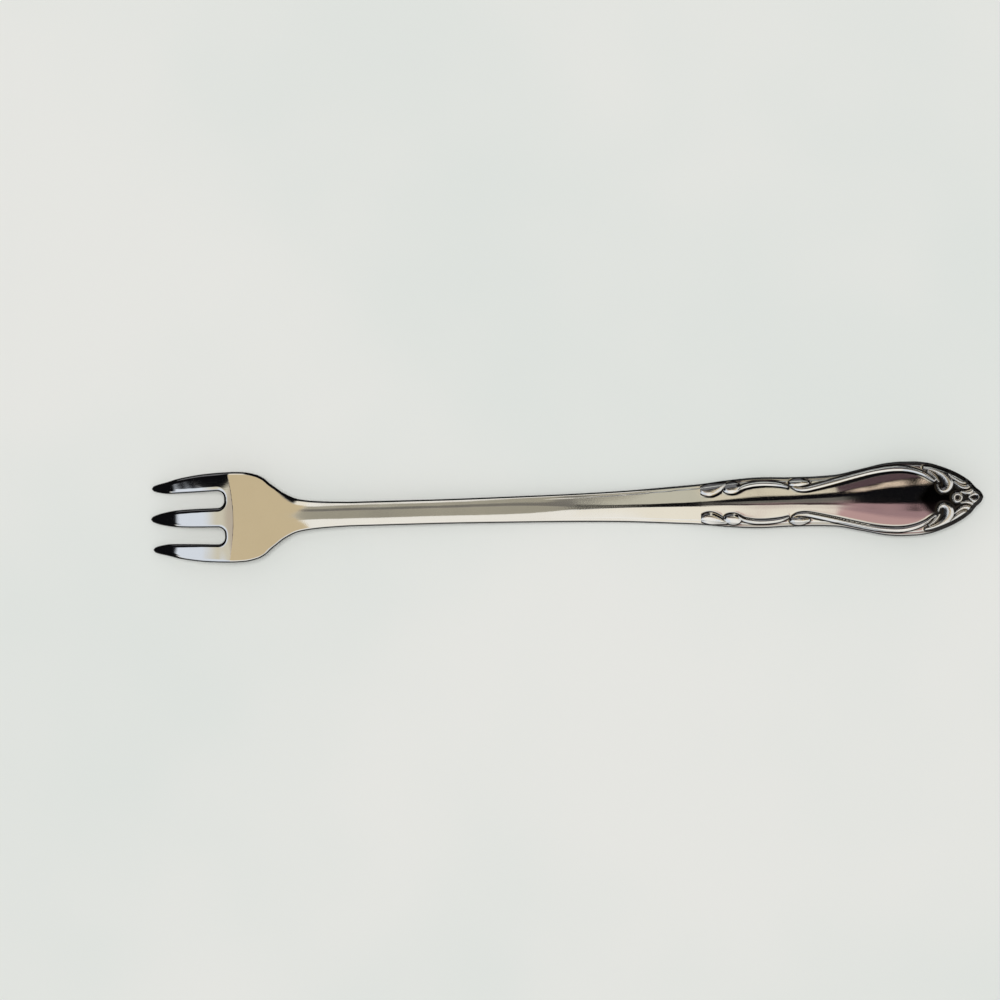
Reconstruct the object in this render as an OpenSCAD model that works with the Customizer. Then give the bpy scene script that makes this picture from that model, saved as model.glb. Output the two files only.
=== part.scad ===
// Oyster fork of polished stainless steel, lying with its back up.
//
// The real fork is one piece of metal. It is drawn here as the regions of that one blank: three tines, the
// root that carries them, the neck, the stem, the handle with its small leaves, and the shield at its end.
// Each region meets the next on a flat section, so together they have the outline of the whole blank.
//
// X runs from the points of the tines to the end of the shield, Y across, and +Z up through the back.
// The origin is on the table, under the middle of the fork. In the functions below, x is measured from
// the points of the tines.

/* [Tines] */
// Length of a tine, from the middle point to the root
tine_length = 12.6; // [9:0.1:16]
// Width of the middle tine where it leaves the root
middle_tine_width = 3.6; // [3:0.05:4.4]
// Width of each outer tine where it leaves the root
outer_tine_width = 3.4; // [2.8:0.05:4.1]
// Width of the slots between the tines
slot_width = 3.15; // [2.6:0.05:3.8]
// Straight run of a slot into the root, before its corners
slot_run = 0.1; // [0:0.05:1]
// Radius in the corners of a slot's closed end
slot_corner = 1.3; // [1:0.05:1.55]
// How far the outer points are drawn in towards the middle one
point_gather = 0.95; // [0:0.05:1.3]
// How far the outer points stand behind the middle one
point_setback = 0.3; // [0:0.05:1]
// Thickness of a tine at its point
point_thickness = 0.7; // [0.5:0.05:1]
// Thickness of the tines where they leave the root
tine_thickness = 1.6; // [1.2:0.05:2]

/* [Root and neck] */
// Length of the root, from the tines to the neck
root_length = 15; // [12:0.5:19]
// How much the root swells past the outer tines, each side
root_swell = 0.08; // [0:0.02:0.3]
// Thickness of the root at its crease
root_thickness = 1.75; // [1.4:0.05:2.2]
// How far the edges of the root's back lie below its middle
root_crown = 0.6; // [0.2:0.05:1]
// Height of the hollow under the root above the table
root_height = 4; // [3:0.1:5.5]
// Length over which the back turns at the crease behind the slots
crease_length = 0.8; // [0.4:0.1:1.2]
// Length of the neck
neck_length = 10; // [8:0.5:14]
// Width of the neck where it leaves the root
neck_width = 6.2; // [5.4:0.1:7.4]
// Thickness of the neck
neck_thickness = 2.3; // [1.9:0.05:3]

/* [Stem] */
// Length of the stem
stem_length = 65; // [50:1:80]
// Width of the stem at its slimmest
stem_width = 4.6; // [3.8:0.1:5.4]
// Width of the stem where it meets the handle
stem_end_width = 7.6; // [6.4:0.1:8.8]
// Thickness of the stem
stem_thickness = 2.4; // [2:0.05:3]
// How far the edges of the stem's back lie below its middle
stem_crown = 0.3; // [0.15:0.05:0.5]
// Length of the flat under the stem on which the fork lies
land_length = 6; // [4:0.5:8]
// Depth to which that flat is ground into the stem
land_depth = 0.03; // [0.02:0.01:0.06]

/* [Handle] */
// Length of the handle, from its first leaf to the shield
handle_length = 16.4; // [14:0.2:20]
// Width of the handle at its widest
handle_width = 9.5; // [8:0.1:11]
// Thickness of the handle along its spine
handle_thickness = 2.4; // [2:0.05:3]
// Height of the spine above the edges of the handle
handle_crown = 0.6; // [0.3:0.05:0.75]
// Width of the ledge along the edge of the handle
ledge_width = 0.8; // [0.5:0.05:1.1]
// Depth of that ledge
ledge_depth = 0.14; // [0.06:0.02:0.24]
// Width of the broadest leaf
leaf_width = 1.8; // [1.4:0.1:2.2]
// Height of the leaves
leaf_height = 0.3; // [0.2:0.02:0.4]

/* [Shield] */
// Length of the shield, to the end of the fork
shield_length = 36; // [30:0.5:43]
// Width of the shield where it meets the handle
shield_neck_width = 9.24; // [8:0.1:11]
// Width of the shield at its widest
shield_width = 13.9; // [12:0.1:16]
// Thickness of the shield at the top of its dome
shield_thickness = 2.6; // [2:0.05:3]
// Height of the dome above the edges of the shield
shield_crown = 0.8; // [0.4:0.05:1]
// Thickness of the shield at its very end
end_thickness = 1.4; // [1:0.05:1.6]
// Height of the end of the shield above the table
end_height = 4.3; // [2:0.1:6]

/* [Ornament] */
// Width of the raised thread that frames the shield
thread_width = 0.7; // [0.5:0.05:0.9]
// Height of that thread
thread_height = 0.22; // [0.16:0.02:0.32]
// Width of the broadest scroll
scroll_width = 1.1; // [0.8:0.05:1.3]
// Height of the scrolls
scroll_height = 0.36; // [0.28:0.02:0.5]
// Radius of the ring between the scrolls, to the middle of its wire
ring_radius = 0.75; // [0.6:0.05:0.9]
// Width of the wire of that ring
ring_wire = 0.55; // [0.4:0.05:0.7]

/* [Hidden] */

STEEL = [0.78, 0.78, 0.77];
BRIGHT_STEEL = [0.86, 0.86, 0.85];

// Where each region starts
root_x = tine_length;
neck_x = root_x + root_length;
stem_x = neck_x + neck_length;
handle_x = stem_x + stem_length;
shield_x = handle_x + handle_length;
fork_length = shield_x + shield_length;

// The flat under the stem ends a little before the handle
land_end_gap_share = 0.85;
land_x = handle_x - (1 + land_end_gap_share) * land_length;

// The crease, where the back is highest
crest_share = 0.2;
crest_x = root_x + crest_share * root_length;

// Places across the tines
head_half = middle_tine_width / 2 + slot_width + outer_tine_width;
slot_y = (middle_tine_width + slot_width) / 2;
outer_tine_y = head_half - outer_tine_width / 2;
corner = min(slot_corner, slot_width / 2);

// How far the slot's cutter runs past the metal
overrun = root_thickness;

// Radius on the long edges of the blank
edge_share = 0.22;
edge_round = edge_share * root_thickness;

// How deep the foot of a raised stroke goes into the metal, as a share of the thickness there
foot_share = 0.2;

// Shares of the way along a region, with the share of its change in half width
root_outline_shares = [[0.33, 1], [0.49, 0.905], [0.59, 0.76], [0.66, 0.58], [0.73, 0.43], [0.83, 0.22]];
neck_outline_shares = [[0, 1], [0.24, 0.5], [0.5, 0.24], [0.75, 0.1]];
stem_outline_shares = [[0, 0], [0.23, 0], [0.46, 0.1], [0.61, 0.2], [0.77, 0.4], [0.92, 0.77]];
handle_outline_shares = [[0, 0], [0.3, 0.58], [0.6, 0.96], [0.72, 1]];
shield_outline_shares = [[0, 0], [0.1, 0], [0.236, 0.09], [0.375, 0.5], [0.514, 0.93], [0.583, 1]];
// Shares of the way along the shield, with the share of its greatest half width
end_outline_shares = [[0.653, 0.995], [0.722, 0.95], [0.79, 0.842], [0.861, 0.683], [0.93, 0.45],
    [0.965, 0.25], [0.983, 0.17], [0.993, 0.105], [1, 0.03]];

// Shares of the way along a tine, with the share of its half width at the root
middle_tine_shares = [[0, 0.1], [0.03, 0.24], [0.2, 0.61], [0.4, 0.83], [0.6, 0.92], [0.8, 0.96], [1, 1]];
outer_tine_shares = [[0, 0.1], [0.03, 0.24], [0.2, 0.53], [0.4, 0.75], [0.6, 0.88], [0.8, 0.97], [1, 1]];
// Shares of the way along a tine, with the share by which an outer one is drawn in
gather_shares = [[0, 1], [0.2, 0.94], [0.4, 0.62], [0.6, 0.35], [0.8, 0.14], [1, 0]];

// Shares of the way along a region, with the share of the height of the root or of the end
tine_height_shares = [[0, 0], [0.2, 0.29], [0.4, 0.53], [0.6, 0.715], [0.8, 0.85], [1, 0.94]];
crease_height_shares = [[-0.5, 0.993], [0, 1], [0.5, 0.991]];
root_height_shares = [[0.6, 0.84]];
neck_height_shares = [[0, 0.685], [1, 0.49]];
stem_height_shares = [[0.12, 0.38], [0.35, 0.206], [0.5, 0.112], [0.62, 0.053]];
handle_height_shares = [[0, 0.0163]];
shield_height_shares = [[0, 0.148], [0.3, 0.239], [0.53, 0.369], [0.72, 0.553], [0.8, 0.647], [0.9, 0.805],
    [1, 1]];
// Shares of the way along the flat, with the share of the depth to which it is ground
land_depth_shares = [[0, 0.25], [0.5, 1], [1, 0.25]];

// Shares of the way along a region, with the share of its thickness
stem_thickness_shares = [[0.2, 1], [1, 1]];
handle_thickness_shares = [[0.5, 1]];
shield_thickness_shares = [[0.45, 1]];
end_thickness_shares = [[0.8, 0.65], [1, 0]];

// Shares of the way along a region, with the share of its crown
root_crown_shares = [[0, 1], [0.5, 1]];
stem_crown_shares = [[0, 1], [0.6, 1]];
handle_crown_shares = [[0, 1], [1, 1]];
shield_crown_shares = [[0.5, 1]];

// Shares of the way along a region, with the roundness of its crown as a share of the half width: broad
// on the root, a sharp spine on the handle and a dome on the shield
root_round_shares = [[0, 1.5], [1, 1.5]];
stem_round_shares = [[0.35, 1.2], [0.65, 0.08]];
handle_round_shares = [[0, 0.14]];
shield_round_shares = [[0, 0.25], [0.25, 0.6], [0.5, 1.3], [1, 1.3]];

// Shares of the way along a region, with the share of the ledge's depth
stem_ledge_shares = [[0, 0], [0.5, 0]];
shield_ledge_shares = [[0, 1], [0.9, 1], [1, 0]];

// A value between a and b
function mix(a, b, share) = a + (b - a) * share;

// The knots of a curve along one region
function knots(x, length, from, to, shares) = [for (s = shares) [x + length * s[0], mix(from, to, s[1])]];

// A smooth curve through knots, each [place, value], that never swings past them
function slope(k, i) = (k[i + 1][1] - k[i][1]) / (k[i + 1][0] - k[i][0]);
function tangent(k, i) =
    i == 0 ? slope(k, 0) :
    i == len(k) - 1 ? slope(k, i - 1) :
    let (before = slope(k, i - 1), after = slope(k, i))
    before * after <= 0 ? 0 : 2 * before * after / (before + after);
function segment(k, x, i = 0) = i >= len(k) - 2 || x < k[i + 1][0] ? i : segment(k, x, i + 1);
function curve(k, x) =
    let (
        i = segment(k, x),
        d = k[i + 1][0] - k[i][0],
        t = max(0, min(1, (x - k[i][0]) / d)),
        ease = t * t * (3 - 2 * t)
    )
    mix(k[i][1], k[i + 1][1], ease)
        + d * t * (1 - t) * ((1 - t) * tangent(k, i) - t * tangent(k, i + 1));

// Half the width of the blank, from the root to the end
outline = concat(
    [[root_x, head_half], [crest_x, head_half + root_swell]],
    knots(root_x, root_length, neck_width / 2, head_half, root_outline_shares),
    knots(neck_x, neck_length, stem_width / 2, neck_width / 2, neck_outline_shares),
    knots(stem_x, stem_length, stem_width / 2, stem_end_width / 2, stem_outline_shares),
    knots(handle_x, handle_length, stem_end_width / 2, handle_width / 2, handle_outline_shares),
    knots(shield_x, shield_length, shield_neck_width / 2, shield_width / 2, shield_outline_shares),
    knots(shield_x, shield_length, 0, shield_width / 2, end_outline_shares)
);

// Height of the middle of the underside: an arch up to the crease, the flat, and the rising end
underside = concat(
    knots(0, tine_length, 0, root_height, tine_height_shares),
    knots(crest_x, crease_length, 0, root_height, crease_height_shares),
    knots(root_x, root_length, 0, root_height, root_height_shares),
    knots(neck_x, neck_length, 0, root_height, neck_height_shares),
    knots(stem_x, stem_length, 0, root_height, stem_height_shares),
    knots(land_x, land_length, 0, -land_depth, land_depth_shares),
    knots(handle_x, handle_length, 0, end_height, handle_height_shares),
    knots(shield_x, shield_length, 0, end_height, shield_height_shares)
);

// Thickness along the middle
thickness = concat(
    [[0, point_thickness], [root_x, tine_thickness], [crest_x, root_thickness], [stem_x, neck_thickness]],
    knots(stem_x, stem_length, 0, stem_thickness, stem_thickness_shares),
    knots(handle_x, handle_length, 0, handle_thickness, handle_thickness_shares),
    knots(shield_x, shield_length, 0, shield_thickness, shield_thickness_shares),
    knots(shield_x, shield_length, end_thickness, shield_thickness, end_thickness_shares)
);

// How far the edges of the back lie below its middle. The points of the tines are level
crown = concat(
    [[0, 0]],
    knots(root_x, root_length, 0, root_crown, root_crown_shares),
    knots(stem_x, stem_length, 0, stem_crown, stem_crown_shares),
    knots(handle_x, handle_length, 0, handle_crown, handle_crown_shares),
    knots(shield_x, shield_length, 0, shield_crown, shield_crown_shares),
    [[fork_length, stem_crown]]
);

// Roundness of the crown, as a share of the half width
roundness = concat(
    knots(root_x, root_length, 0, 1, root_round_shares),
    knots(stem_x, stem_length, 0, 1, stem_round_shares),
    knots(handle_x, handle_length, 0, 1, handle_round_shares),
    knots(shield_x, shield_length, 0, 1, shield_round_shares)
);

// How much of the crown the underside has: hollow under the root, flat under the stem, and the same
// spine and dome as the back under the handle and the shield
underside_crown_shares = [[0, -0.6], [root_x, -0.6], [stem_x, 0], [land_x, 0], [land_x + land_length, 0],
    [handle_x, 0.85], [shield_x, 1], [fork_length, 1]];

// Depth of the ledge along the edge
ledge_depths = concat(
    knots(stem_x, stem_length, 0, ledge_depth, stem_ledge_shares),
    [[handle_x, ledge_depth]],
    knots(shield_x, shield_length, 0, ledge_depth, shield_ledge_shares)
);
ledge_limit_share = 0.4;
ledge_wall_share = 0.15;
ledge_round_share = 0.6;

function half_width(x) = curve(outline, x);
function ledge(x) = min(ledge_width, ledge_limit_share * half_width(x));

// How far a face has fallen at y, from 0 in the middle to 1 at the edge
function fall(x, y) =
    let (u = y / half_width(max(root_x, x)), q = curve(roundness, x))
    (sqrt(u * u + q * q) - q) / (sqrt(1 + q * q) - q);

// Height of the back (face 1) or of the front (face -1) at a place on the blank
function back(x, y) = curve(underside, x) + curve(thickness, x) - curve(crown, x) * fall(x, y);
function front(x, y) = curve(underside, x) + curve(crown, x) * curve(underside_crown_shares, x) * fall(x, y);
function height(x, y, face) = face > 0 ? back(x, y) : front(x, y);

// The edge is rounded, by less where the metal is narrow or thin
edge_limit_share = 0.3;
edge_shares = [[1, 0], [0.3, 0.3], [0, 1]];
function rounding(half, thick) = min(edge_round, edge_limit_share * half, edge_limit_share * thick);

// Half of one face of a section, as [y, z] from the middle to the edge
across_shares = [0, 0.12, 0.3, 0.6, 1];
function half_face(x, face) =
    let (
        w = half_width(x),
        inner = w - ledge(x),
        wall = ledge_wall_share * ledge(x),
        step = face * curve(ledge_depths, x) * (face > 0 ? 1 : max(0, curve(underside_crown_shares, x))),
        r = min(rounding(w, curve(thickness, x) - curve(crown, x)), ledge_round_share * ledge(x))
    )
    concat(
        [for (s = across_shares) [s * inner, height(x, s * inner, face)]],
        [[inner + wall, height(x, inner + wall, face) - step]],
        [for (s = edge_shares)
            [w - r * s[0], height(x, w - r * s[0], face) - step - face * r * s[1]]]
    );

// A whole section, anticlockwise as seen from the end of the handle
function reversed(list) = [for (i = [len(list) - 1:-1:0]) list[i]];
function tail(list) = [for (i = [1:len(list) - 1]) list[i]];
function mirrored(list) = [for (p = list) [-p[0], p[1]]];
function section(x) =
    let (over = half_face(x, 1), under = half_face(x, -1))
    [for (p = concat(reversed(over), tail(mirrored(over)), reversed(mirrored(under)), tail(under)))
        [x, p[0], p[1]]];

// A solid skinned over sections that all have as many points
module loft(sections) {
    n = len(sections[0]);
    last = len(sections) - 1;
    sides = [for (i = [0:last - 1], j = [0:n - 1])
        let (a = i * n + j, b = i * n + (j + 1) % n)
        each [[a, a + n, b], [b, a + n, b + n]]];
    ends = [[for (j = [0:n - 1]) j], [for (j = [n - 1:-1:0]) last * n + j]];
    points = [for (s = sections) each s];
    polyhedron(points, concat(sides, ends));
}

function spaced(from, to, steps) = [for (i = [0:steps]) mix(from, to, i / steps)];

// One tine. side is 0 for the middle one and 1 or -1 for the outer ones
function tine_section(s, side) =
    let (
        x = mix(abs(side) * point_setback, tine_length, s),
        along = s * tine_length,
        y = side * (outer_tine_y - point_gather * curve(gather_shares, s)),
        half = side == 0 ? curve(middle_tine_shares, s) * middle_tine_width / 2
            : curve(outer_tine_shares, s) * outer_tine_width / 2,
        r = (1 - s * s) * rounding(half, curve(thickness, along)),
        over = [for (e = edge_shares) [half - r * e[0], -r * e[1]]],
        rim = concat(reversed(over), [[0, 0]], mirrored(over))
    )
    concat(
        [for (p = rim) [x, y + p[0], back(along, y + p[0]) + p[1]]],
        [for (p = reversed(rim)) [x, y + p[0], front(along, y + p[0]) - p[1]]]
    );
tine_stations = [0, 0.03, 0.1, 0.2, 0.32, 0.45, 0.6, 0.75, 0.9, 1];

module tine(side) {
    color(BRIGHT_STEEL)
        placed()
            loft([for (s = tine_stations) tine_section(s, side)]);
}

// The fork is drawn from its points and then moved, so that its middle is over the origin
module placed() {
    translate([-fork_length / 2, 0, 0]) children();
}

module tine_left() {
    tine(1);
}

module tine_middle() {
    tine(0);
}

module tine_right() {
    tine(-1);
}

// The rounded end of a slot, seen from above
module slot_shape() {
    straight = slot_width / 2 - corner;
    corner_steps = [0:15:90];
    right = [for (a = corner_steps) [slot_run + corner * sin(a), straight + corner * cos(a)]];
    left = [for (p = reversed(right)) [p[0], -p[1]]];
    polygon(concat([[-overrun, slot_width / 2]], right, left, [[-overrun, -slot_width / 2]]));
}

// The root's blank is lofted a little long, then the slots and the ends of the tines are cut from it
module root() {
    margin = head_half + overrun;
    places = concat(
        spaced(root_x - overrun / 2, crest_x - crease_length / 2, 5),
        [crest_x],
        spaced(crest_x + crease_length / 2, neck_x, 12)
    );
    color(BRIGHT_STEEL)
        placed()
            difference() {
                loft([for (x = places) section(x)]);
                translate([root_x, 0, 0])
                    linear_extrude(root_height + root_thickness + overrun) {
                        translate([-overrun, -margin]) square([overrun, 2 * margin]);
                        for (side = [-1, 1])
                            translate([0, side * slot_y]) slot_shape();
                    }
            }
}

module neck() {
    color(STEEL)
        placed()
            loft([for (x = spaced(neck_x, stem_x, 6)) section(x)]);
}

module stem() {
    places = concat(spaced(stem_x, land_x, 14), tail(spaced(land_x, land_x + land_length, 2)), [handle_x]);
    color(STEEL)
        placed()
            difference() {
                loft([for (x = places) section(x)]);
                translate([stem_x, -stem_end_width, -overrun])
                    cube([stem_length, 2 * stem_end_width, overrun]);
            }
}

// A smooth route through places, each [x, y, width]
function bend(a, b, c, d, t) =
    b + t * ((c - a) + t * ((2 * a - 5 * b + 4 * c - d) + t * (3 * b - a - 3 * c + d))) / 2;
function route(p, steps) =
    let (last = len(p) - 1)
    concat(
        [for (i = [0:last - 1], s = [0:steps - 1])
            bend(p[max(0, i - 1)], p[i], p[i + 1], p[min(last, i + 2)], s / steps)],
        [p[last]]
    );

// A raised stroke along a route on one face. It is rounded across and its foot is in the metal
stroke_shares = [[0.5, 0], [0.22, 1], [-0.22, 1], [-0.5, 0]];
thin_share = 0.3;
function stroke_section(path, i, width, rise, face, closed) =
    let (
        n = len(path),
        before = path[closed ? (i + n - 1) % n : max(0, i - 1)],
        after = path[closed ? (i + 1) % n : min(n - 1, i + 1)],
        d = [after[0] - before[0], after[1] - before[1]],
        normal = [-d[1], d[0]] / norm(d),
        p = path[i],
        z = height(p[0], p[1], face),
        top = rise * min(1, thin_share + p[2] / width),
        foot = foot_share * curve(thickness, p[0])
    )
    [for (s = stroke_shares)
        let (q = [p[0], p[1]] + s[0] * p[2] * normal)
        [q[0], q[1], z + face * (s[1] > 0 ? s[1] * top : -foot)]];

module stroke(path, width, rise, face, closed = false) {
    sections = [for (i = [0:len(path) - 1]) stroke_section(path, i, width, rise, face, closed)];
    turned = face > 0 ? sections : [for (s = sections) reversed(s)];
    if (closed) ribbon(turned);
    else loft(turned);
}

// A closed ring of sections
module ribbon(sections) {
    n = len(sections[0]);
    count = len(sections);
    sides = [for (i = [0:count - 1], j = [0:n - 1])
        let (a = i * n + j, b = i * n + (j + 1) % n, c = ((i + 1) % count) * n)
        each [[a, c + j, b], [b, c + j, c + (j + 1) % n]]];
    polyhedron([for (s = sections) each s], sides);
}

// The same stroke on both sides of the spine and on both faces
module strokes(path, width, rise) {
    for (face = [-1, 1]) {
        stroke(path, width, rise, face);
        mirror([0, 1, 0]) stroke(path, width, rise, face);
    }
}

// Places on the handle, as shares of its length, of its half width and of a stroke's width
function on_handle(shares, width) =
    [for (s = shares) [handle_x + s[0] * handle_length, s[1] * handle_width / 2, s[2] * width]];

first_leaf_shares = [[0.015, 0.56, 0.45], [0.06, 0.54, 0.85], [0.12, 0.56, 1], [0.2, 0.63, 0.7],
    [0.29, 0.76, 0.12]];
second_leaf_shares = [[0.28, 0.6, 0.15], [0.31, 0.59, 0.75], [0.36, 0.61, 0.95], [0.4, 0.62, 0.8],
    [0.44, 0.64, 0.25]];
handle_thread_shares = [[0.43, 0.52, 0.55], [0.48, 0.63, 0.7], [0.54, 0.69, 0.8], [0.61, 0.73, 0.8],
    [0.7, 0.745, 0.8], [0.79, 0.735, 0.8], [0.9, 0.69, 0.7], [0.985, 0.6, 0.3]];

module handle() {
    color(STEEL)
        placed()
            union() {
                loft([for (x = spaced(handle_x, shield_x, 9)) section(x)]);
                strokes(route(on_handle(first_leaf_shares, leaf_width), 2), leaf_width, leaf_height);
                strokes(route(on_handle(second_leaf_shares, leaf_width), 2), leaf_width, leaf_height);
                strokes(route(on_handle(handle_thread_shares, thread_width), 1), thread_width,
                    thread_height);
            }
}

// Places on the shield, as shares of its length, of its half width and of a stroke's width
function on_shield(shares, width) =
    [for (s = shares) [shield_x + s[0] * shield_length, s[1] * shield_width / 2, s[2] * width]];

third_leaf_shares = [[0.015, 0.5, 0.4], [0.035, 0.51, 0.65], [0.065, 0.52, 0.6], [0.1, 0.5, 0.2]];
shield_thread_shares = [[0.02, 0.4, 0.3], [0.045, 0.345, 0.6], [0.085, 0.335, 0.8], [0.14, 0.39, 0.9],
    [0.236, 0.51, 1], [0.32, 0.62, 1], [0.43, 0.75, 1], [0.52, 0.81, 1], [0.59, 0.81, 0.95],
    [0.65, 0.75, 0.85], [0.7, 0.645, 0.7], [0.733, 0.53, 0.6], [0.752, 0.47, 0.5], [0.757, 0.53, 0.45],
    [0.75, 0.61, 0.3]];
outer_scroll_shares = [[0.703, 0.83, 0.3], [0.75, 0.79, 0.5], [0.79, 0.705, 0.75], [0.822, 0.58, 0.95],
    [0.838, 0.43, 1], [0.833, 0.28, 0.85], [0.812, 0.195, 0.7], [0.79, 0.2, 0.6], [0.774, 0.28, 0.5],
    [0.77, 0.36, 0.35]];
inner_scroll_shares = [[0.714, 0.77, 0.25], [0.742, 0.7, 0.4], [0.764, 0.61, 0.45], [0.779, 0.5, 0.45],
    [0.785, 0.41, 0.3]];
outer_spray_shares = [[0.825, 0.68, 0.3], [0.86, 0.53, 0.5], [0.89, 0.43, 0.5], [0.91, 0.395, 0.45],
    [0.918, 0.44, 0.35], [0.908, 0.48, 0.25]];
inner_spray_shares = [[0.845, 0.4, 0.3], [0.868, 0.335, 0.45], [0.892, 0.3, 0.5], [0.912, 0.305, 0.5],
    [0.928, 0.345, 0.4]];
lobe_shares = [[0.885, 0.14, 0.35], [0.908, 0.115, 0.55], [0.934, 0.13, 0.6], [0.945, 0.2, 0.55],
    [0.941, 0.27, 0.45]];
tip_leaf_shares = [[0.925, 0.01, 0.3], [0.945, 0.09, 0.4], [0.965, 0.125, 0.4], [0.976, 0.07, 0.4],
    [0.979, 0, 0.4]];
ring_place_share = 0.867;
ring_steps = 14;

module shield() {
    // Sections lie closer together towards the end, where the outline turns
    places = [for (a = spaced(0, 90, 24)) shield_x + shield_length * sin(a)];
    ring = [for (i = [0:ring_steps - 1])
        let (a = i * 360 / ring_steps)
        [shield_x + ring_place_share * shield_length + ring_radius * cos(a), ring_radius * sin(a), ring_wire]];
    color(STEEL)
        placed()
            union() {
                loft([for (x = places) section(x)]);
                strokes(route(on_shield(third_leaf_shares, leaf_width), 1), leaf_width, leaf_height);
                strokes(route(on_shield(shield_thread_shares, thread_width), 2), thread_width,
                    thread_height);
                for (shares = [outer_scroll_shares, inner_scroll_shares, outer_spray_shares,
                        inner_spray_shares, lobe_shares, tip_leaf_shares])
                    strokes(route(on_shield(shares, scroll_width), 2), scroll_width, scroll_height);
                for (face = [-1, 1])
                    stroke(ring, ring_wire, scroll_height, face, true);
            }
}

tine_left();
tine_middle();
tine_right();
root();
neck();
stem();
handle();
shield();
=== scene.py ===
"""An oyster fork of polished steel, lying with its back up on a pale table."""

import math

import bpy
import numpy as np
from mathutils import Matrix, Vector
from mathutils.kdtree import KDTree


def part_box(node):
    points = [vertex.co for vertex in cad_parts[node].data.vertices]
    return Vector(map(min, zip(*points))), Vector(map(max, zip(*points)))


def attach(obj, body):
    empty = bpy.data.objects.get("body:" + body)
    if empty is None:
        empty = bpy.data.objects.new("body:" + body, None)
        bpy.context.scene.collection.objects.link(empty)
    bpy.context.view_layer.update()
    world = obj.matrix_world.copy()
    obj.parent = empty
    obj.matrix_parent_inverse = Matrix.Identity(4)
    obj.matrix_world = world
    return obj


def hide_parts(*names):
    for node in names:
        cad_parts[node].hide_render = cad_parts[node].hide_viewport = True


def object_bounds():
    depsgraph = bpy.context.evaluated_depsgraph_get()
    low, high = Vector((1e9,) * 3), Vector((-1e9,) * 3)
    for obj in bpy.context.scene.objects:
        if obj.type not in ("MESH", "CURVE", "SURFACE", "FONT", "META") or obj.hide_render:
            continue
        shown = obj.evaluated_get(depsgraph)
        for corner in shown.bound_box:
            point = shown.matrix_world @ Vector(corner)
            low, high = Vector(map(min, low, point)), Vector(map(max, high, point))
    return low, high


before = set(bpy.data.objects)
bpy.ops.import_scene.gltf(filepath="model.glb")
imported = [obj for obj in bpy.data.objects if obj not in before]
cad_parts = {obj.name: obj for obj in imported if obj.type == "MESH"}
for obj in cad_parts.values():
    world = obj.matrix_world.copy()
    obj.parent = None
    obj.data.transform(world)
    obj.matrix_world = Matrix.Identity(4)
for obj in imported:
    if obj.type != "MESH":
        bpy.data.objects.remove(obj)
cad_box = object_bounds()

MM = 0.001

# Where each region starts, in mm from the points of the tines, read from the frame
FORK_LENGTH = (cad_box[1][0] - cad_box[0][0]) / MM
REGION_STARTS = {
    name: (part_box(name)[0][0] - cad_box[0][0]) / MM
    for name in ("root", "neck", "stem", "handle", "shield")
}
ROOT_X = REGION_STARTS["root"]
NECK_X = REGION_STARTS["neck"]
STEM_X = REGION_STARTS["stem"]
HANDLE_X = REGION_STARTS["handle"]
SHIELD_X = REGION_STARTS["shield"]
ROOT_LENGTH = NECK_X - ROOT_X
NECK_LENGTH = STEM_X - NECK_X
STEM_LENGTH = HANDLE_X - STEM_X
HANDLE_LENGTH = SHIELD_X - HANDLE_X
SHIELD_LENGTH = FORK_LENGTH - SHIELD_X

# Sizes in mm. They are those of the solids, but for the root's swell, the crease, the height of the
# scrolls, the tip leaf and the ring, which are given here
MIDDLE_TINE_WIDTH = 3.6
OUTER_TINE_WIDTH = 3.4
SLOT_WIDTH = 3.15
SLOT_RUN = 0.1
SLOT_CORNER = 1.3
POINT_GATHER = 0.95
POINT_SETBACK = 0.3
POINT_THICKNESS = 0.7
TINE_THICKNESS = 1.6
ROOT_SWELL = 0.079
ROOT_THICKNESS = 1.75
ROOT_CROWN = 0.6
ROOT_HEIGHT = 4.0
CREASE_LENGTH = 0.3
CREASE_BOW = 0.016
NECK_WIDTH = 6.2
NECK_THICKNESS = 2.3
STEM_WIDTH = 4.6
STEM_END_WIDTH = 7.6
STEM_THICKNESS = 2.4
STEM_CROWN = 0.3
LAND_LENGTH = 6.0
LAND_DEPTH = 0.03
LAND_END_GAP = 0.85 * LAND_LENGTH
HANDLE_WIDTH = 9.5
HANDLE_THICKNESS = 2.4
HANDLE_CROWN = 0.6
LEDGE_WIDTH = 0.8
LEDGE_DEPTH = 0.14
LEAF_WIDTH = 1.8
LEAF_HEIGHT = 0.3
SHIELD_NECK_WIDTH = 9.24
SHIELD_WIDTH = 13.9
SHIELD_THICKNESS = 2.6
SHIELD_CROWN = 0.8
END_THICKNESS = 1.4
END_HEIGHT = 4.3
THREAD_WIDTH = 0.7
THREAD_HEIGHT = 0.22
SCROLL_WIDTH = 1.1
SCROLL_HEIGHT = 0.33
TIP_HEIGHT = 0.25
RING_RADIUS = 0.68
RING_WIRE = 0.68

HEAD_HALF = MIDDLE_TINE_WIDTH / 2 + SLOT_WIDTH + OUTER_TINE_WIDTH
SLOT_Y = (MIDDLE_TINE_WIDTH + SLOT_WIDTH) / 2
OUTER_TINE_Y = HEAD_HALF - OUTER_TINE_WIDTH / 2
SLOT_END = ROOT_X + SLOT_RUN + SLOT_CORNER
CREST_X = ROOT_X + 0.2 * ROOT_LENGTH
LAND_X = HANDLE_X - LAND_END_GAP - LAND_LENGTH

# The nose at the end: its radius, and the share of the radius over which it is round
NOSE_RADIUS = 1.2
NOSE_SHARE = 0.2

# The rounding on the long edges may take this much of the half width and of the thickness
EDGE_WIDTH_LIMIT = 0.7
EDGE_DEPTH_LIMIT = 0.42

# Half widths below these count as these, so that nothing is divided by zero at a point or the nose
LEAST_CROWN_HALF = 0.2
LEAST_EDGE_HALF = 0.05


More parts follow.
